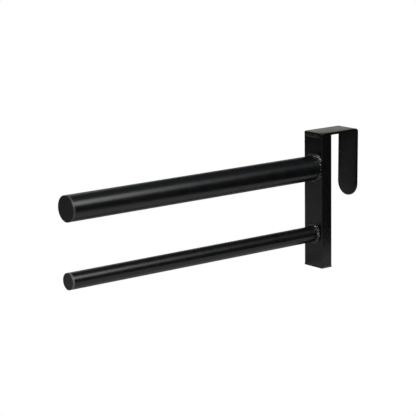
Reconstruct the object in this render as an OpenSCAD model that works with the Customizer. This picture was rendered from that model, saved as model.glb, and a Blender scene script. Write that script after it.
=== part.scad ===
// Over-panel towel rack: a hook strap and a post in welded steel, two round bars, push-in caps.
// The origin is where the strap's underside meets the post's back face, midway across the width.
// +Z is up. The bars stand out along -Y, and the hook reaches back over the panel along +Y.

/* [Hook strap] */
// Width of the flat bar
strap_w = 30; // [25:1:40]
// Thickness of the flat bar
strap_t = 3; // [2:0.5:4]
// Clear depth of the hook at its top, measured back from the post
hook_gap = 37; // [18:1:60]
// Length of the tongue below the underside of the strap
tongue_drop = 75; // [40:1:90]
// Inward lean of the tongue, which grips the back of the panel
tongue_lean = 0.75; // [0:0.25:1.5]
// Inner radius of the bend
bend_inner_r = 0.6; // [0.4:0.1:3]

/* [Post] */
// Width of the tube across the face that carries the bars
post_w = 30; // [29:1:40]
// Depth of the tube, front to back
post_d = 15; // [12:1:25]
// Height of the post below the strap, with its bottom plug
post_h = 151; // [145:1:200]
// Wall of the tube
post_wall = 1.2; // [0.8:0.1:1.4]
// Outer radius of the tube's long corners
post_corner_r = 1.5; // [1.5:0.25:3]

/* [Bars] */
// Length of both bars from the face of the post to their cut ends
bar_len = 330; // [150:5:450]
// Outer diameter of the upper bar
upper_bar_d = 28; // [20:1:28]
// Drop from the strap's underside to the upper bar's axis
upper_bar_drop = 37.5; // [20:0.5:45]
// Outer diameter of the lower bar
lower_bar_d = 18; // [12:1:24]
// Drop from the strap's underside to the lower bar's axis
lower_bar_drop = 113; // [80:0.5:125]
// Wall of both bars
bar_wall = 1.5; // [1:0.25:2]

/* [Caps and plug] */
// Thickness of the flange that shows at the end of each bar
cap_flange_t = 2.5; // [1.5:0.5:4]
// Rounding of the flange's outer edge
cap_edge_r = 0.3; // [0.2:0.1:1]
// Depth of the sleeve inside the bar
cap_sleeve_len = 14; // [8:1:25]
// Thickness of the flange under the post
plug_flange_t = 2; // [1:0.5:4]
// How far the plug's flange stands proud of the post on each side
plug_proud = 0.25; // [0:0.05:1]
// Depth of the plug's sleeve inside the post
plug_sleeve_len = 15; // [8:1:25]
// Wall of the moulded sleeves
sleeve_wall = 1.5; // [1:0.25:2]

/* [Welds] */
// Leg of the fillet bead round the upper bar
upper_weld_leg = 2.5; // [1.5:0.5:3]
// Leg of the fillet bead round the lower bar
lower_weld_leg = 2; // [1.5:0.5:3]
// Length of the bead along the strap's front edge
hook_weld_len = 24; // [10:1:26]
// How far that bead stands proud of the post
hook_weld_proud = 0.7; // [0.3:0.1:1]

/* [Hidden] */
$fn = 96;

coat = [0.10, 0.10, 0.11];
moulding = [0.16, 0.16, 0.17];
bead = [0.22, 0.22, 0.23];

post_tube_h = post_h - plug_flange_t;
// where the flat stretch of the strap ends and its bend begins
bend_y = hook_gap - bend_inner_r;
bend_outer_r = bend_inner_r + strap_t;
// stock past the ends of a shape, so that no two faces of a cut coincide
past = 5;

// room between a moulded barb or rib and the tube that it is pressed into
barb_room = 0.05;
// height of the barbs and ribs above their sleeve
barb_h = 0.8;
barb_count = 3;

// the upper bead is trimmed just inside the post's sides, where the corners fall away
weld_half_w = post_w / 2 - 0.3;

// A rectangle with round corners, centred
module rounded_rect(w, d, r) {
    square([w - 2 * r, d], center = true);
    square([w, d - 2 * r], center = true);
    for (x = [-1, 1], y = [-1, 1])
        translate([x * (w / 2 - r), y * (d / 2 - r)]) circle(r);
}

// Side view of the strap: the flat stretch, the bend and the leaning tongue
module strap_profile() {
    inside = tongue_drop + post_d + hook_gap;
    translate([bend_y, -bend_inner_r])
        difference() {
            union() {
                translate([-post_d - bend_y, bend_inner_r]) square([post_d + bend_y, strap_t]);
                circle(bend_outer_r);
                rotate(-tongue_lean)
                    translate([bend_inner_r, -tongue_drop - past])
                    square([strap_t, tongue_drop + past]);
            }
            circle(bend_inner_r);
            translate([-inside, -inside]) square([inside, inside + bend_inner_r]);
            rotate(-tongue_lean)
                translate([bend_inner_r - inside, -inside]) square(inside);
        }
}

// Front view of the strap: straight sides and a round end
module strap_outline() {
    straight = tongue_drop - strap_w / 2;
    translate([-strap_w / 2, -straight]) square([strap_w, straight + strap_t + past]);
    translate([0, -straight]) circle(strap_w / 2);
}

module hook_strap() {
    color(coat)
        intersection() {
            rotate([90, 0, 90])
                linear_extrude(strap_w + 2 * past, center = true) strap_profile();
            translate([0, hook_gap + 2 * past, 0])
                rotate([90, 0, 0])
                linear_extrude(hook_gap + post_d + 4 * past) strap_outline();
        }
}

module post_tube() {
    color(coat)
        translate([0, -post_d / 2, -post_tube_h])
        linear_extrude(post_tube_h)
        difference() {
            rounded_rect(post_w, post_d, post_corner_r);
            rounded_rect(post_w - 2 * post_wall, post_d - 2 * post_wall,
                         post_corner_r - post_wall);
        }
}

// Places a shape that stands on the XY plane on the front of the post, pointing outwards
module on_post_face(drop) {
    translate([0, -post_d, -drop]) rotate([90, 0, 0]) children();
}

module bar(d, drop) {
    color(coat)
        on_post_face(drop)
        linear_extrude(bar_len)
        difference() {
            circle(d / 2);
            circle(d / 2 - bar_wall);
        }
}

module upper_bar() { bar(upper_bar_d, upper_bar_drop); }

module lower_bar() { bar(lower_bar_d, lower_bar_drop); }

// Half section of a cap: the flange with its rounded edge, and the sleeve with its barbs
module cap_section(d) {
    bore_r = d / 2 - bar_wall;
    sleeve_r = bore_r - barb_room - barb_h;
    pitch = cap_sleeve_len / (barb_count + 0.5);
    // flange
    square([d / 2 - cap_edge_r, cap_flange_t]);
    square([d / 2, cap_flange_t - cap_edge_r]);
    translate([d / 2 - cap_edge_r, cap_flange_t - cap_edge_r]) circle(cap_edge_r);
    // sleeve
    translate([sleeve_r - sleeve_wall, -cap_sleeve_len])
        square([sleeve_wall, cap_sleeve_len]);
    // barbs, each with a sloping lead-in
    for (i = [0:barb_count - 1])
        translate([sleeve_r, -cap_sleeve_len + i * pitch])
        polygon([[0, 0], [barb_h, 0.5 * pitch], [barb_h, 0.7 * pitch], [0, 0.7 * pitch]]);
}

module bar_cap(d, drop) {
    color(moulding)
        on_post_face(drop)
        translate([0, 0, bar_len])
        rotate_extrude() cap_section(d);
}

module upper_bar_cap() { bar_cap(upper_bar_d, upper_bar_drop); }

module lower_bar_cap() { bar_cap(lower_bar_d, lower_bar_drop); }

// The plug's flange sits under the tube and its ribbed sleeve reaches up inside
module post_plug() {
    bore_w = post_w - 2 * post_wall;
    bore_d = post_d - 2 * post_wall;
    rib_inset = 2 * barb_room;
    sleeve_inset = rib_inset + 2 * barb_h;
    sleeve_corner_r = 0.6;
    rib_t = 1;
    pitch = plug_sleeve_len / (barb_count + 0.5);
    color(moulding)
        translate([0, -post_d / 2, -post_tube_h]) {
            translate([0, 0, -plug_flange_t])
                linear_extrude(plug_flange_t)
                rounded_rect(post_w + 2 * plug_proud, post_d + 2 * plug_proud,
                             post_corner_r + plug_proud);
            linear_extrude(plug_sleeve_len)
                difference() {
                    rounded_rect(bore_w - sleeve_inset, bore_d - sleeve_inset, sleeve_corner_r);
                    square([bore_w - sleeve_inset - 2 * sleeve_wall,
                            bore_d - sleeve_inset - 2 * sleeve_wall], center = true);
                }
            for (i = [1:barb_count])
                translate([0, 0, i * pitch])
                linear_extrude(rib_t)
                difference() {
                    rounded_rect(bore_w - rib_inset, bore_d - rib_inset, sleeve_corner_r);
                    square([bore_w - sleeve_inset - sleeve_wall,
                            bore_d - sleeve_inset - sleeve_wall], center = true);
                }
        }
}

// Half section of a convex fillet bead against a bar, reaching behind the post's face by 'behind'
module bead_section(r, leg, behind) {
    polygon([[r, -behind], [r + leg, -behind], [r + leg, 0], [r + 0.8 * leg, 0.5 * leg],
             [r + 0.5 * leg, 0.8 * leg], [r, leg]]);
}

// The upper bead wraps a little round the post's corners, because its bar nearly fills the face
module upper_bar_weld() {
    behind = 1;
    color(bead)
        difference() {
            on_post_face(upper_bar_drop)
                intersection() {
                    rotate_extrude()
                        bead_section(upper_bar_d / 2, upper_weld_leg, behind);
                    translate([-weld_half_w, -upper_bar_d, -past])
                        cube([2 * weld_half_w, 2 * upper_bar_d, 2 * past]);
                }
            translate([0, -post_d / 2, -post_tube_h])
                linear_extrude(post_tube_h)
                rounded_rect(post_w, post_d, post_corner_r);
        }
}

module lower_bar_weld() {
    color(bead)
        on_post_face(lower_bar_drop)
        rotate_extrude()
        bead_section(lower_bar_d / 2, lower_weld_leg, 0);
}

// A low bead, a circular segment in section, over the joint line on the front of the post. It
// starts where one corner's flat begins, and stops short of the other corner.
module hook_weld() {
    half_chord = 1.3;
    r = (half_chord * half_chord + hook_weld_proud * hook_weld_proud) / (2 * hook_weld_proud);
    color(bead)
        translate([post_corner_r - post_w / 2, -post_d, 0])
        rotate([90, 0, 90])
        linear_extrude(hook_weld_len)
        intersection() {
            translate([r - hook_weld_proud, 0]) circle(r);
            translate([-r, -r]) square([r, 2 * r]);
        }
}

hook_strap();
post_tube();
upper_bar();
lower_bar();
upper_bar_cap();
lower_bar_cap();
post_plug();
upper_bar_weld();
lower_bar_weld();
hook_weld();
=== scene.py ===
"""Looks of the over-panel towel rack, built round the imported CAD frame.

Units are metres. +Z is up, the bars stand out along -Y and the hook reaches back along +Y. The
origin is where the strap's underside meets the post's back face, midway across the width.
"""

import math
import random

import bmesh
import bpy
from mathutils import Matrix, Vector, noise


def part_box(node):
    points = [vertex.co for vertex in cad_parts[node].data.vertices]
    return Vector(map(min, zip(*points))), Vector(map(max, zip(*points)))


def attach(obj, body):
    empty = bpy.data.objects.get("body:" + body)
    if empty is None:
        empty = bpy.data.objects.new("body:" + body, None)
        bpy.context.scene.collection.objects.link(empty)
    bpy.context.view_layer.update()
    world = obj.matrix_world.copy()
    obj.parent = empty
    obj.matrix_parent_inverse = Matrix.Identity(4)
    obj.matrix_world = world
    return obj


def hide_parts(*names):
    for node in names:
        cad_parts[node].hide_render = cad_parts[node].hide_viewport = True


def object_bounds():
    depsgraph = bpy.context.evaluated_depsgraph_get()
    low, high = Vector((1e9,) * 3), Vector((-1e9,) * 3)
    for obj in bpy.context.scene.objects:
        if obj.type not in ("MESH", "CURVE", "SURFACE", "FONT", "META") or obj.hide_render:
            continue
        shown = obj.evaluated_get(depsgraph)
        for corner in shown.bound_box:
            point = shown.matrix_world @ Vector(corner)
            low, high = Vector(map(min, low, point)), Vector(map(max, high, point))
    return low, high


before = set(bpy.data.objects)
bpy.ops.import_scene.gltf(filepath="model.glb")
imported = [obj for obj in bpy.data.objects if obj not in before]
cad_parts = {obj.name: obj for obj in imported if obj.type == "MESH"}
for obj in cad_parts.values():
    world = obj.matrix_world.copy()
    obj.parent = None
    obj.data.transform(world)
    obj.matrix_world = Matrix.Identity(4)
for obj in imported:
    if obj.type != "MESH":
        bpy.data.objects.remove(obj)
CAD_LOW, CAD_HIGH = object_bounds()
MIDDLE = (CAD_LOW + CAD_HIGH) / 2

MM = 0.001

# The photo's view, as angles round the object and a distance from its middle
VIEW_AZIMUTH = math.radians(51.862)
VIEW_ELEVATION = math.radians(11.817)
VIEW_ROLL = math.radians(-0.841)
VIEW_DISTANCE = 1.935283
LENS = 155.594
# how far the picture's centre is from the object's middle, along the view's right and up
AIM_RIGHT = -0.008945
AIM_UP = 0.010121

# Strap, as in part.scad
BEND_INNER_R = 0.6 * MM
TONGUE_LEAN = math.radians(0.75)
BEND_SWEEP = math.pi / 2 + TONGUE_LEAN
# only in the looks: rolled edges of the flat bar, and its front end, whose corners are dressed
# more on the right, at +X, and whose upper edges are rounder over a short reach
STRAP_EDGE_R = 0.5 * MM
RIGHT_CORNER_R = 2.4 * MM
LEFT_CORNER_R = 1.4 * MM
FRONT_EDGE_R = 1.2 * MM
FRONT_REACH = 3 * MM

# Post and plug, as in part.scad
POST_WALL = 1.2 * MM
POST_CORNER_R = 1.5 * MM
SLEEVE_CORNER_R = 0.6 * MM
SLEEVE_WALL = 1.5 * MM
RIB_ROOM = 0.05 * MM
RIB_H = 0.8 * MM
RIB_T = 1.0 * MM
RIB_COUNT = 3
# the flange's rounded lower edge and eased upper edge, which only the looks have
PLUG_EDGE_R = 0.4 * MM
PLUG_TOP_EDGE = 0.15 * MM

# Weld beads: legs, lengths of one drop, and seeds. Swells are where the welder put on more or less:
# an angle in degrees from +X towards +Z, a share of the leg and a spread in degrees.
UPPER_LEG = 2.5 * MM
LOWER_LEG = 2.1 * MM
UPPER_PITCH = 2.9 * MM
LOWER_PITCH = 2.6 * MM
HOOK_PITCH = 2.4 * MM
UPPER_SEED = 11
LOWER_SEED = 3
HOOK_SEED = 5
UPPER_SWELLS = ((60, 0.7, 26), (0, -0.35, 22), (180, -0.35, 22), (-112, 0.6, 14))
LOWER_SWELLS = ((42, 0.65, 38), (-95, 0.25, 30), (125, 0.3, 20))
HOOK_BEAD_LENGTH = 24 * MM
HOOK_BEAD_HALF_CHORD = 1.5 * MM
HOOK_BEAD_PROUD = 0.9 * MM
# how far the bead's middle lies below the joint, and how far it takes to run out at each end
HOOK_BEAD_DROP = 1.3 * MM
HOOK_BEAD_RUNOUT = 4 * MM
# keeps its end sections from shrinking to a point
HOOK_LEAST_TAPER = 0.004
# how far its drops bow forward, and the share of its width that follows them
HOOK_BOW = 0.9 * MM
HOOK_WAIST = 0.45
# how far a bead's hidden root goes into the steel on both sides
BEAD_ROOT = 0.6 * MM
ROOT_SPARE = 0.2 * MM
# a round bead's section is an arc in degrees from behind the post's face round to the bar
BEAD_START = -40
BEAD_SWEEP = 145
# how far the front of a drop bows forward, and how hollow the middle of its section is, as shares
RING_BOW = 0.5
RING_HOLLOW = 0.14
# a bead stays this clearance inside the CAD box's sides. It is eased in only where its bar comes
# within the margin of them.
BEAD_CLEARANCE = 0.12 * MM
BEAD_MARGIN = 3 * MM
# drops of spatter: how many are thrown, how flat they are, and the half width where they can stick
SPATTER_COUNT = 7
SPATTER_SQUASH = 0.7
SPATTER_HALF_W = 13 * MM
# edges that turn by more than this many degrees are shaded sharp
SHARP_ANGLE = 40
BEAD_SHARP_ANGLE = 75

# Most of a noise lies between these two values
NOISE_LOW = 0.3
NOISE_HIGH = 0.7

# Pale rims of the caps, as base colour, and how uneven it is. The lower bar's cap gets a paler rim
# tone as painted light, standing in for the brighter light that falls on it.
RIM_TONE = 0.05
PAINTED_LIGHT_RIM_TONE = 0.115
RIM_UNEVENNESS = 0.15

# The studio: a table just below the rack, turned a little, and how far it reaches from the origin
FLOOR_DROP = 0.5 * MM
FLOOR_TURN = math.radians(19.3)
FLOOR_RIGHT = 0.11
FLOOR_BACK = 0.15
FLOOR_FRONT = 1.6
# its left side runs straight away from the panel, this far from the origin
FLOOR_LEFT = 0.46
FLOOR_PATCH = 0.3
FLOOR_TONES = ((0.74, 0.74, 0.705), (0.78, 0.78, 0.74))
FLOOR_ROUGHNESS = 0.9
# light of the dark room round it
ROOM_STRENGTH = 0.015


# ---------------------------------------------------------------------------------- mesh tools

def turned(angle):
    """Unit vector at an angle in the XZ plane, from +X towards +Z."""
    return Vector((math.cos(angle), 0, math.sin(angle)))


def skin(bm, rings, joined=False):
    """Covers rings of points with quads. joined joins the last ring to the first, and otherwise
    both ends are closed with a flat face."""
    loops = [[bm.verts.new(point) for point in ring] for ring in rings]
    pairs = list(zip(loops, loops[1:]))
    if joined:
        pairs.append((loops[-1], loops[0]))
    for a, b in pairs:
        for i in range(len(a)):
            k = (i + 1) % len(a)
            bm.faces.new((a[i], a[k], b[k], b[i]))
    if not joined:
        bm.faces.new(loops[0])
        bm.faces.new(loops[-1])


def piece(name, bm, material, replaced, sharp_angle=SHARP_ANGLE):
    """Turns a bmesh into a named piece of the rack."""
    bmesh.ops.recalc_face_normals(bm, faces=bm.faces)
    mesh = bpy.data.meshes.new(name)
    bm.to_mesh(mesh)
    bm.free()
    mesh.shade_smooth()
    mesh.set_sharp_from_angle(angle=math.radians(sharp_angle))
    mesh.materials.append(material)
    made = bpy.data.objects.new(name, mesh)
    bpy.context.scene.collection.objects.link(made)
    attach(made, "root")
    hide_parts(replaced)


# ---------------------------------------------------------------------------------- materials

def new_node(tree, kind, links=None, **values):
    """Adds a node. values are set on the input sockets of those names, and links are made from
    the given output sockets."""
    made = tree.nodes.new(kind)
    for name, value in values.items():
        made.inputs[name.replace("_", " ")].default_value = value
    for name, output in (links or {}).items():
        tree.links.new(output, made.inputs[name])
    return made


def grain(tree, place, size, detail=2.0):
    """Noise whose cells are about size across."""
    return new_node(tree, "ShaderNodeTexNoise", {"Vector": place}, Scale=1 / size, Detail=detail)


def relief(tree, layers, place):
    """Bump layers, each a cell size and a depth, one on top of the other. Returns the normal."""
    normal = None
    for size, depth in layers:
        links = {"Height": grain(tree, place, size).outputs["Fac"]}
        if normal is not None:
            links["Normal"] = normal
        bump = new_node(tree, "ShaderNodeBump", links, Distance=depth, Strength=1.0)
        normal = bump.outputs["Normal"]
    return normal


def varied(tree, fac, low, high):
    """Stretches the middle of a noise over the range low to high."""
    made = new_node(tree, "ShaderNodeMapRange", {"Value": fac},
                    From_Min=NOISE_LOW, From_Max=NOISE_HIGH, To_Min=low, To_Max=high)
    return made.outputs["Result"]


def blended(tree, fac, first, second):
    """Blends two colours by a noise."""
    ramp = new_node(tree, "ShaderNodeValToRGB", {"Fac": fac})
    ramp.color_ramp.elements[0].position = NOISE_LOW
    ramp.color_ramp.elements[1].position = NOISE_HIGH
    ramp.color_ramp.elements[0].color = (*first, 1)
    ramp.color_ramp.elements[1].color = (*second, 1)
    return ramp.outputs["Color"]


def surface(name, tones, patch, roughness, layers, specular):
    """A procedural material: two close tones in patches, uneven roughness and relief."""
    material = bpy.data.materials.new(name)
    material.use_nodes = True
    tree = material.node_tree
    shader = tree.nodes["Principled BSDF"]
    place = new_node(tree, "ShaderNodeTexCoord").outputs["Object"]
    patches = grain(tree, place, patch, detail=4.0).outputs["Fac"]
    tree.links.new(blended(tree, patches, *tones), shader.inputs["Base Color"])
    tree.links.new(varied(tree, patches, *roughness), shader.inputs["Roughness"])
    tree.links.new(relief(tree, layers, place), shader.inputs["Normal"])
    shader.inputs["Specular IOR Level"].default_value = specular
    return material


def powder_coat():
    """Satin black powder coat: orange peel with a fine grain on it."""
    return surface("powder_coat_black",
                   tones=((0.0022, 0.0024, 0.0024), (0.0034, 0.0036, 0.0034)),
                   patch=9 * MM,
                   roughness=(0.27, 0.33),
                   layers=((1.3 * MM, 0.014 * MM), (0.3 * MM, 0.003 * MM)),
                   specular=0.5)


def coated_weld():
    """The same coat where it has flowed over weld metal, so it is glossier and smoother."""
    return surface("coated_weld_black",
                   tones=((0.0022, 0.0023, 0.0024), (0.0034, 0.0034, 0.0034)),
                   patch=2 * MM,
                   roughness=(0.17, 0.23),
                   layers=((0.8 * MM, 0.008 * MM),),
                   specular=0.9)


def cap_plastic(name, rim_tone):
    """Moulded black plastic with a fine spark-eroded grain, and a rim scuffed to a paler tone, as
    pale as rim_tone. A rim_tone above the plain scuffed one paints light onto the rim.
    """
    made = surface(name,
                   tones=((0.0093, 0.0096, 0.0100), (0.0122, 0.0125, 0.0130)),
                   patch=4 * MM,
                   roughness=(0.42, 0.50),
                   layers=((0.35 * MM, 0.012 * MM),),
                   specular=0.5)
    tree = made.node_tree
    shader = tree.nodes["Principled BSDF"]
    face = shader.inputs["Base Color"].links[0].from_socket
    place = tree.nodes["Texture Coordinate"]
    scuffs = grain(tree, place.outputs["Object"], 1.5 * MM).outputs["Fac"]
    darker, paler = (1 - RIM_UNEVENNESS) * rim_tone, (1 + RIM_UNEVENNESS) * rim_tone
    rim = blended(tree, scuffs, (darker,) * 3, (paler,) * 3)
    facing = new_node(tree, "ShaderNodeSeparateXYZ", {"Vector": place.outputs["Normal"]})
    endways = new_node(tree, "ShaderNodeMath", {0: facing.outputs["Y"]})
    endways.operation = "ABSOLUTE"
    # the rim is where the surface doesn't face along the bar
    share = new_node(tree, "ShaderNodeMapRange", {"Value": endways.outputs[0]},
                     From_Min=0.2, From_Max=0.5, To_Min=1.0, To_Max=0.0)
    mixed = new_node(tree, "ShaderNodeMixRGB", {"Fac": share.outputs["Result"],
                                                "Color1": face, "Color2": rim})
    tree.links.new(mixed.outputs["Color"], shader.inputs["Base Color"])
    return made


# ---------------------------------------------------------------------------------- hook strap

def strap_outline(length, half_w, corner_r):
    """One side of the flat pattern, from the front end to the middle of the round end: places
    (along, across) with their outward directions."""
    steps = 6
    side = []
    # the corner
    for i in range(steps + 1):
        a = math.pi / 2 * i / steps
        out = Vector((-math.cos(a), math.sin(a)))
        side.append((Vector((corner_r, half_w - corner_r)) + corner_r * out, out))
    for along in front_stations(corner_r) + bend_stations():
        side.append((Vector((along, half_w)), Vector((0, 1))))
    # the round end
    steps = 28
    for i in range(steps + 1):
        a = math.pi / 2 * (1 - i / steps)
        out = Vector((math.cos(a), math.sin(a)))
        side.append((Vector((length - half_w, 0)) + half_w * out, out))
    return side


def front_stations(corner_r):
    """Places along the strap, behind its corner, where its edges change radius."""
    return [corner_r + FRONT_REACH * share for share in (0.25, 0.5, 0.75, 1, 1.5, 2)]


def bend_stations():
    """Places along the strap where its bend needs a row of vertices."""
    steps = 12
    return [bend_start() + BEND_INNER_R * BEND_SWEEP * i / steps for i in range(steps + 1)]


def bend_start():
    """Length of the strap's flat stretch."""
    low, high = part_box("hook_strap")
    return high.y - high.z - BEND_INNER_R - low.y


def bent(along, across, height):
    """Point of the bent strap. height is measured from the underside, which becomes the inside."""
    low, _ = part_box("hook_strap")
    past = along - bend_start()
    if past <= 0:
        return Vector((across, low.y + along, height))
    turn = min(past / BEND_INNER_R, BEND_SWEEP)
    radius = BEND_INNER_R + height
    rest = past - BEND_INNER_R * turn
    y = low.y + bend_start() + radius * math.sin(turn) + rest * math.cos(turn)
    z = -BEND_INNER_R + radius * math.cos(turn) - rest * math.sin(turn)
    return Vector((across, y, z))


def front_radius(along):
    """Radius of the strap's upper edges at a distance from its front end."""
    return STRAP_EDGE_R + (FRONT_EDGE_R - STRAP_EDGE_R) * math.exp(-(along / FRONT_REACH) ** 2)


def edge_point(place, out, radius, angle, thickness):
    """Point of the flat pattern's rounded upper edge: (along, across, height)."""
    flat = place - radius * (1 - math.sin(angle)) * out
    return Vector((flat.x, flat.y, thickness - radius * (1 - math.cos(angle))))


def hook_strap(material):
    """The flat bar with rolled edges, rounded at both ends of its flat pattern and then bent."""
    low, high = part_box("hook_strap")
    thickness = high.z
    outer_r = BEND_INNER_R + thickness
    tongue = (-BEND_INNER_R + outer_r * math.cos(BEND_SWEEP) - low.z) / math.sin(BEND_SWEEP)
    length = bend_start() + BEND_INNER_R * BEND_SWEEP + tongue
    right = strap_outline(length, high.x, RIGHT_CORNER_R)
    left = strap_outline(length, high.x, LEFT_CORNER_R)
    mirrored = [(Vector((p.x, -p.y)), Vector((out.x, -out.y))) for p, out in left[-2::-1]]
    outline = right + mirrored
    steps = 6
    arc = [math.pi / 2 * i / steps for i in range(steps + 1)]
    bm = bmesh.new()
    rings = []
    # down the upper edge, and then down the lower edge, which is the same arc upside down
    for a in arc:
        rings.append([edge_point(p, out, front_radius(p.x), a, thickness) for p, out in outline])
    for a in reversed(arc):
        rings.append([edge_point(p, out, STRAP_EDGE_R, a, thickness) for p, out in outline])
        for point in rings[-1]:
            point.z = thickness - point.z
    rings = [[bm.verts.new(bent(*point)) for point in ring] for ring in rings]
    count = len(outline)
    for a, b in zip(rings, rings[1:]):
        for i in range(count):
            k = (i + 1) % count
            bm.faces.new((a[i], a[k], b[k], b[i]))
    # the flat faces, in strips across the strap and a triangle at the tip
    tip = len(right) - 1
    for ring in (rings[0], rings[-1]):
        for i in range(tip):
            corners = [ring[i], ring[i + 1], ring[count - 2 - i], ring[count - 1 - i]]
            bm.faces.new(corners[:2] + corners[3:] if i + 1 == tip else corners)
    piece("hook_strap_bar", bm, material, "hook_strap")


# ---------------------------------------------------------------------------------- post plug

def rounded_ring(half_w, half_d, radius, centre_y, z):
    """A ring of points round a rectangle with round corners."""
    steps = 6
    points = []
    for quarter in range(4):
        sign_x = 1 if quarter in (0, 3) else -1
        sign_y = 1 if quarter in (0, 1) else -1
        for i in range(steps + 1):
            a = math.pi / 2 * (quarter + i / steps)
            points.append(Vector((sign_x * (half_w - radius) + radius * math.cos(a),
                                  centre_y + sign_y * (half_d - radius) + radius * math.sin(a), z)))
    return points


def post_plug(material):
    """The moulded plug: a flange with a rounded lower edge, and a ribbed sleeve in the post."""
    low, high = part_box("post_plug")
    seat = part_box("post_tube")[0].z
    half_w, half_d = (high.x - low.x) / 2, (high.y - low.y) / 2
    centre_y = (high.y + low.y) / 2
    proud = high.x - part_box("post_tube")[1].x
    corner = POST_CORNER_R + proud

    def ring(inset, z, radius):
        return rounded_ring(half_w - inset, half_d - inset, radius, centre_y, z)

    # the flange
    rings = []
    steps = 4
    for i in range(steps + 1):
        a = math.pi / 2 * i / steps
        inset = PLUG_EDGE_R * (1 - math.sin(a))
        rings.append(ring(inset, low.z + PLUG_EDGE_R * (1 - math.cos(a)), corner - inset))
    rings.append(ring(0, seat - PLUG_TOP_EDGE, corner))
    rings.append(ring(PLUG_TOP_EDGE, seat, corner - PLUG_TOP_EDGE))
    # the ribbed sleeve, up the outside and down the inside
    rib = proud + POST_WALL + RIB_ROOM
    sleeve = rib + RIB_H
    pitch = (high.z - seat) / (RIB_COUNT + 0.5)
    rings.append(ring(sleeve, seat, SLEEVE_CORNER_R))
    for i in range(1, RIB_COUNT + 1):
        z = seat + i * pitch
        rings.append(ring(sleeve, z, SLEEVE_CORNER_R))
        rings.append(ring(rib, z + RIB_T / 2, SLEEVE_CORNER_R))
        rings.append(ring(rib, z + RIB_T, SLEEVE_CORNER_R))
        rings.append(ring(sleeve, z + RIB_T, SLEEVE_CORNER_R))
    rings.append(ring(sleeve, high.z, SLEEVE_CORNER_R))
    rings.append(ring(sleeve + SLEEVE_WALL, high.z, SLEEVE_CORNER_R / 2))
    rings.append(ring(sleeve + SLEEVE_WALL, seat, SLEEVE_CORNER_R / 2))
    bm = bmesh.new()
    skin(bm, rings)
    piece("post_plug_moulding", bm, material, "post_plug")


# ---------------------------------------------------------------------------------- weld beads

class Seam:
    """Weld drops laid one over the next along a seam of a given length."""

    # a drop's spacing as a share of the pitch, and its size as a share of the bead's
    SPACING = (0.7, 1.3)
    SIZE = (0.78, 1.12)
    LAST_GAP = 0.6
    # height between the drops
    VALLEY = 0.45
    # reach of a drop, as shares of the pitch
    STEEP_REACH = 0.62
    SLOPING_REACH = 1.05
    LUMP_SIZE = 1.6 * MM
    LUMP_HEIGHT = 0.20
    FINE_LUMP_SCALE = 2.3
    FINE_LUMP_HEIGHT = 0.05

    def __init__(self, length, pitch, seed, closed):
        self.rng = random.Random(seed)
        self.length = length
        self.pitch = pitch
        self.closed = closed
        self.shift = Vector((self.rng.uniform(0, 9), self.rng.uniform(0, 9), 0))
        places = [0.0]
        while places[-1] < length - self.LAST_GAP * pitch:
            places.append(places[-1] + pitch * self.rng.uniform(*self.SPACING))
        stretch = length / (places[-1] + (pitch if closed else 0))
        self.drops = [(at * stretch, self.rng.uniform(*self.SIZE)) for at in places]

    def height(self, along):
        """Height of the drops at a place on the seam, about 1 on a drop and less between."""
        tallest = self.VALLEY
        for at, size in self.drops:
            away = along - at
            if self.closed:
                away = (away + self.length / 2) % self.length - self.length / 2
            # a drop is steep where the torch moved on, and slopes where the next one covers it
            reach = self.pitch * (self.STEEP_REACH if away > 0 else self.SLOPING_REACH)
            swell = 1 - (away / reach) ** 2
            if swell > 0:
                tallest = max(tallest, size * math.sqrt(swell))
        return tallest

    def lumps(self, point):
        """Small lumps, as a share of the bead's size."""
        scaled = point / self.LUMP_SIZE + self.shift
        fine = noise.noise(scaled * self.FINE_LUMP_SCALE)
        return 1 + self.LUMP_HEIGHT * noise.noise(scaled) + self.FINE_LUMP_HEIGHT * fine


def ring_bead(name, node, bar, leg, swells, pitch, seed, material):
    """A fillet bead round the root of a bar, on the face of the post."""
    low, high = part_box(bar)
    face_y = high.y
    radius = (high.x - low.x) / 2
    axis_z = (high.z + low.z) / 2
    limit = CAD_HIGH.x - BEAD_CLEARANCE
    root_limit = BEAD_ROOT / math.sin(math.radians(-BEAD_START)) + ROOT_SPARE
    around, steps = 400, 18
    seam = Seam(2 * math.pi * radius, pitch, seed, closed=True)
    rings = []
    for i in range(around):
        phi = 2 * math.pi * i / around
        out = turned(phi)
        core = out * radius + Vector((0, face_y, axis_z))
        full = leg * swelling(math.degrees(phi), swells)
        ring = []
        for j in range(steps + 1):
            psi = math.radians(BEAD_START + BEAD_SWEEP * j / steps)
            # the front of a drop bows forward in the middle of the bead
            bow = RING_BOW * leg * (1 - ((psi - math.pi / 4) / (math.pi / 2)) ** 2)
            hollow = 1 - RING_HOLLOW * math.sin(2 * abs(psi))
            size = full * seam.height(radius * phi + bow) * hollow
            if psi < 0:
                size = min(size, root_limit)
            point = core + size * (math.cos(psi) * out + math.sin(psi) * Vector((0, -1, 0)))
            point = core + (point - core) * seam.lumps(point)
            ring.append(held_in(point, radius, limit))
        ring.append(core - out * BEAD_ROOT + Vector((0, BEAD_ROOT, 0)))
        rings.append(ring)
    bm = bmesh.new()
    skin(bm, rings, joined=True)
    add_spatter(bm, seam.rng, radius + leg, face_y, axis_z)
    piece(name, bm, material, node, sharp_angle=BEAD_SHARP_ANGLE)


def swelling(angle, swells):
    """Size of a bead at an angle in degrees, as a share of its leg."""
    share = 1
    for at, more, spread in swells:
        away = (angle - at + 180) % 360 - 180
        share += more * math.exp(-(away / spread) ** 2)
    return share


def held_in(point, radius, limit):
    """Eases a point of a bead back inside the limit, where the bar nearly fills the post."""
    over = abs(point.x) - radius
    room = limit - radius
    if over <= 0 or room > BEAD_MARGIN:
        return point
    point.x = math.copysign(radius + room * (1 - math.exp(-over / room)), point.x)
    return point


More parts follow.
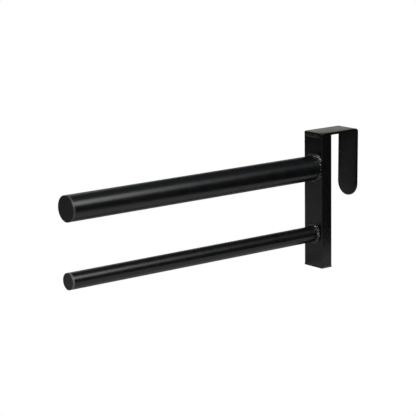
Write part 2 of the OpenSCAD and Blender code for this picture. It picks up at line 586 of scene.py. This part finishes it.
def add_spatter(bm, rng, inner, face_y, axis_z):
    """A few small drops that flew off and stuck to the face of the post."""
    squash = Matrix.Diagonal((1, SPATTER_SQUASH, 1, 1))
    for _ in range(SPATTER_COUNT):
        size = rng.uniform(0.22, 0.5) * MM
        centre = turned(rng.uniform(0, 2 * math.pi)) * (inner + rng.uniform(0.3, 3) * MM)
        if abs(centre.x) > SPATTER_HALF_W:
            continue
        centre += Vector((0, face_y, axis_z))
        bmesh.ops.create_icosphere(bm, subdivisions=3, radius=size,
                                   matrix=Matrix.Translation(centre) @ squash)


def hook_bead(material):
    """The low bead over the joint between the strap and the front of the post."""
    low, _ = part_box("hook_weld")
    face_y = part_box("post_tube")[0].y
    around, steps = 110, 10
    seam = Seam(HOOK_BEAD_LENGTH, HOOK_PITCH, HOOK_SEED, closed=False)
    rings = []
    for i in range(around + 1):
        along = HOOK_BEAD_LENGTH * i / around
        # both ends of the bead run out smoothly
        ends = min(along, HOOK_BEAD_LENGTH - along) / HOOK_BEAD_RUNOUT
        taper = math.sqrt(max(HOOK_LEAST_TAPER, 1 - (1 - min(1, ends)) ** 2))
        ring = []
        for j in range(steps + 1):
            psi = math.pi * j / steps
            bow = HOOK_BOW * math.sin(psi)
            height = seam.height(along + bow)
            swell = taper * height
            wide = HOOK_BEAD_HALF_CHORD * taper * (1 - HOOK_WAIST + HOOK_WAIST * height)
            point = Vector((low.x + along, face_y - HOOK_BEAD_PROUD * swell * math.sin(psi),
                            wide * math.cos(psi) - HOOK_BEAD_DROP))
            point.y = face_y + (point.y - face_y) * seam.lumps(point)
            ring.append(point)
        ring.append(Vector((low.x + along, face_y + BEAD_ROOT * taper, -HOOK_BEAD_DROP)))
        rings.append(ring)
    bm = bmesh.new()
    skin(bm, rings)
    piece("hook_bead", bm, material, "hook_weld", sharp_angle=BEAD_SHARP_ANGLE)


# ---------------------------------------------------------------------------------- studio

def add_camera():
    """The photo's viewpoint."""
    back = Vector((math.sin(VIEW_AZIMUTH) * math.cos(VIEW_ELEVATION),
                   -math.cos(VIEW_AZIMUTH) * math.cos(VIEW_ELEVATION), math.sin(VIEW_ELEVATION)))
    right = Vector((math.cos(VIEW_AZIMUTH), math.sin(VIEW_AZIMUTH), 0))
    up = back.cross(right)
    camera = bpy.data.objects.new("camera", bpy.data.cameras.new("camera"))
    camera.data.lens = LENS
    axes = Matrix((right, up, back)).transposed().to_4x4() @ Matrix.Rotation(VIEW_ROLL, 4, "Z")
    aim = MIDDLE + AIM_RIGHT * right + AIM_UP * up
    camera.matrix_world = Matrix.Translation(aim + VIEW_DISTANCE * back) @ axes
    bpy.context.scene.collection.objects.link(camera)
    bpy.context.scene.camera = camera


def softbox(name, centre, aim, width, height, radiance, tint=(1, 1, 1)):
    """A rectangular area light, unseen by the camera, with an even radiance."""
    light = bpy.data.lights.new(name, "AREA")
    light.shape = "RECTANGLE"
    light.size, light.size_y = width, height
    light.energy = math.pi * width * height * radiance
    light.color = tint
    lamp = bpy.data.objects.new(name, light)
    place = MIDDLE + Vector(centre)
    direction = Vector(aim) - Vector(centre)
    facing = direction.to_track_quat("-Z", "Y").to_matrix().to_4x4()
    lamp.matrix_world = Matrix.Translation(place) @ facing
    lamp.visible_camera = False
    bpy.context.scene.collection.objects.link(lamp)


def add_lights():
    """Soft studio light: a long softbox on the right with a dim tail behind the panel, cards and a
    weak ceiling behind on the left, and a fill in front and above. Each line gives a light's place
    and its aim from the object's middle, then its width, its height and its radiance."""
    softbox("long_softbox", (0.52, -0.055, 0.52), (0, -0.055, 0), 0.86, 0.40, 4.9)
    softbox("softbox_tail", (0.52, 0.555, 0.52), (0, 0.555, 0), 0.36, 0.40, 0.36, (0.85, 0.97, 1.1))
    softbox("back_card", (-0.95, 0.80, 0.28), (0, 0, 0), 1.1, 0.5, 0.60, (1.0, 1.01, 0.90))
    softbox("ceiling", (-0.1, 0.3, 1.3), (-0.1, 0.3, 0), 1.6, 1.6, 0.13, (0.75, 0.97, 1.15))
    softbox("left_card", (-0.85, 0.12, 0.73), (0, 0.04, 0.075), 0.9, 0.4, 0.85)
    softbox("top_fill", (-0.3, -1.3, 1.3), (0, 0, 0), 1.2, 1.0, 0.6)


def white_to_camera(tree, shader):
    """Shows plain white to the camera itself, and the given shader to light and reflections."""
    seen = new_node(tree, "ShaderNodeLightPath").outputs["Is Camera Ray"]
    white = new_node(tree, "ShaderNodeEmission", Color=(1, 1, 1, 1), Strength=1.0)
    mixed = new_node(tree, "ShaderNodeMixShader", {"Fac": seen})
    tree.links.new(shader, mixed.inputs[1])
    tree.links.new(white.outputs["Emission"], mixed.inputs[2])
    return mixed.outputs["Shader"]


def add_world():
    """A dark studio round the lights, white behind the object as the camera sees it."""
    world = bpy.data.worlds.new("studio")
    world.use_nodes = True
    tree = world.node_tree
    room = tree.nodes["Background"]
    room.inputs["Color"].default_value = (1, 1, 1, 1)
    room.inputs["Strength"].default_value = ROOM_STRENGTH
    seen = new_node(tree, "ShaderNodeLightPath").outputs["Is Camera Ray"]
    white = new_node(tree, "ShaderNodeBackground", Color=(1, 1, 1, 1), Strength=1.0)
    mixed = new_node(tree, "ShaderNodeMixShader", {"Fac": seen})
    tree.links.new(room.outputs["Background"], mixed.inputs[1])
    tree.links.new(white.outputs["Background"], mixed.inputs[2])
    tree.links.new(mixed.outputs["Shader"], tree.nodes["World Output"].inputs["Surface"])
    bpy.context.scene.world = world


def add_floor():
    """A plain pale table below the rack, which ends a little behind it."""
    z = CAD_LOW.z - FLOOR_DROP
    turn = Matrix.Rotation(FLOOR_TURN, 4, "Z")
    bm = bmesh.new()
    corners = [turn @ Vector((x, y, z)) for x, y in ((FLOOR_RIGHT, -FLOOR_FRONT),
                                                     (FLOOR_RIGHT, FLOOR_BACK),
                                                     (-FLOOR_LEFT, FLOOR_BACK))]
    # the left side isn't turned
    corners[2].x = -FLOOR_LEFT
    corners.append(Vector((-FLOOR_LEFT, corners[0].y, z)))
    bm.faces.new([bm.verts.new(corner) for corner in corners])
    mesh = bpy.data.meshes.new("floor")
    bm.to_mesh(mesh)
    bm.free()
    material = bpy.data.materials.new("pale_floor")
    material.use_nodes = True
    tree = material.node_tree
    shader = tree.nodes["Principled BSDF"]
    place = new_node(tree, "ShaderNodeTexCoord").outputs["Object"]
    patches = grain(tree, place, FLOOR_PATCH).outputs["Fac"]
    tree.links.new(blended(tree, patches, *FLOOR_TONES), shader.inputs["Base Color"])
    shader.inputs["Roughness"].default_value = FLOOR_ROUGHNESS
    tree.links.new(white_to_camera(tree, shader.outputs["BSDF"]),
                   tree.nodes["Material Output"].inputs["Surface"])
    mesh.materials.append(material)
    floor = bpy.data.objects.new("floor", mesh)
    bpy.context.scene.collection.objects.link(floor)


# ---------------------------------------------------------------------------------- build

def refinish(node, material):
    """Gives a CAD node one material in place of its own."""
    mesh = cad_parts[node].data
    mesh.materials.clear()
    mesh.materials.append(material)


coat, weld = powder_coat(), coated_weld()
plastic = cap_plastic("cap_plastic_black", RIM_TONE)
# a copy of the cap plastic whose rim is painted paler: painted light for the lower bar's cap
lit_rim_plastic = cap_plastic("cap_plastic_painted_lit_rim", PAINTED_LIGHT_RIM_TONE)
for steel in ("post_tube", "upper_bar", "lower_bar"):
    refinish(steel, coat)
refinish("upper_bar_cap", plastic)
# the lower cap takes the copy with painted light on its rim
refinish("lower_bar_cap", lit_rim_plastic)
hook_strap(coat)
post_plug(plastic)
ring_bead("upper_bead", "upper_bar_weld", "upper_bar", UPPER_LEG, UPPER_SWELLS,
          UPPER_PITCH, UPPER_SEED, weld)
ring_bead("lower_bead", "lower_bar_weld", "lower_bar", LOWER_LEG, LOWER_SWELLS,
          LOWER_PITCH, LOWER_SEED, weld)
hook_bead(weld)

add_camera()
add_world()
add_floor()
add_lights()
bpy.context.scene.view_settings.view_transform = "Standard"
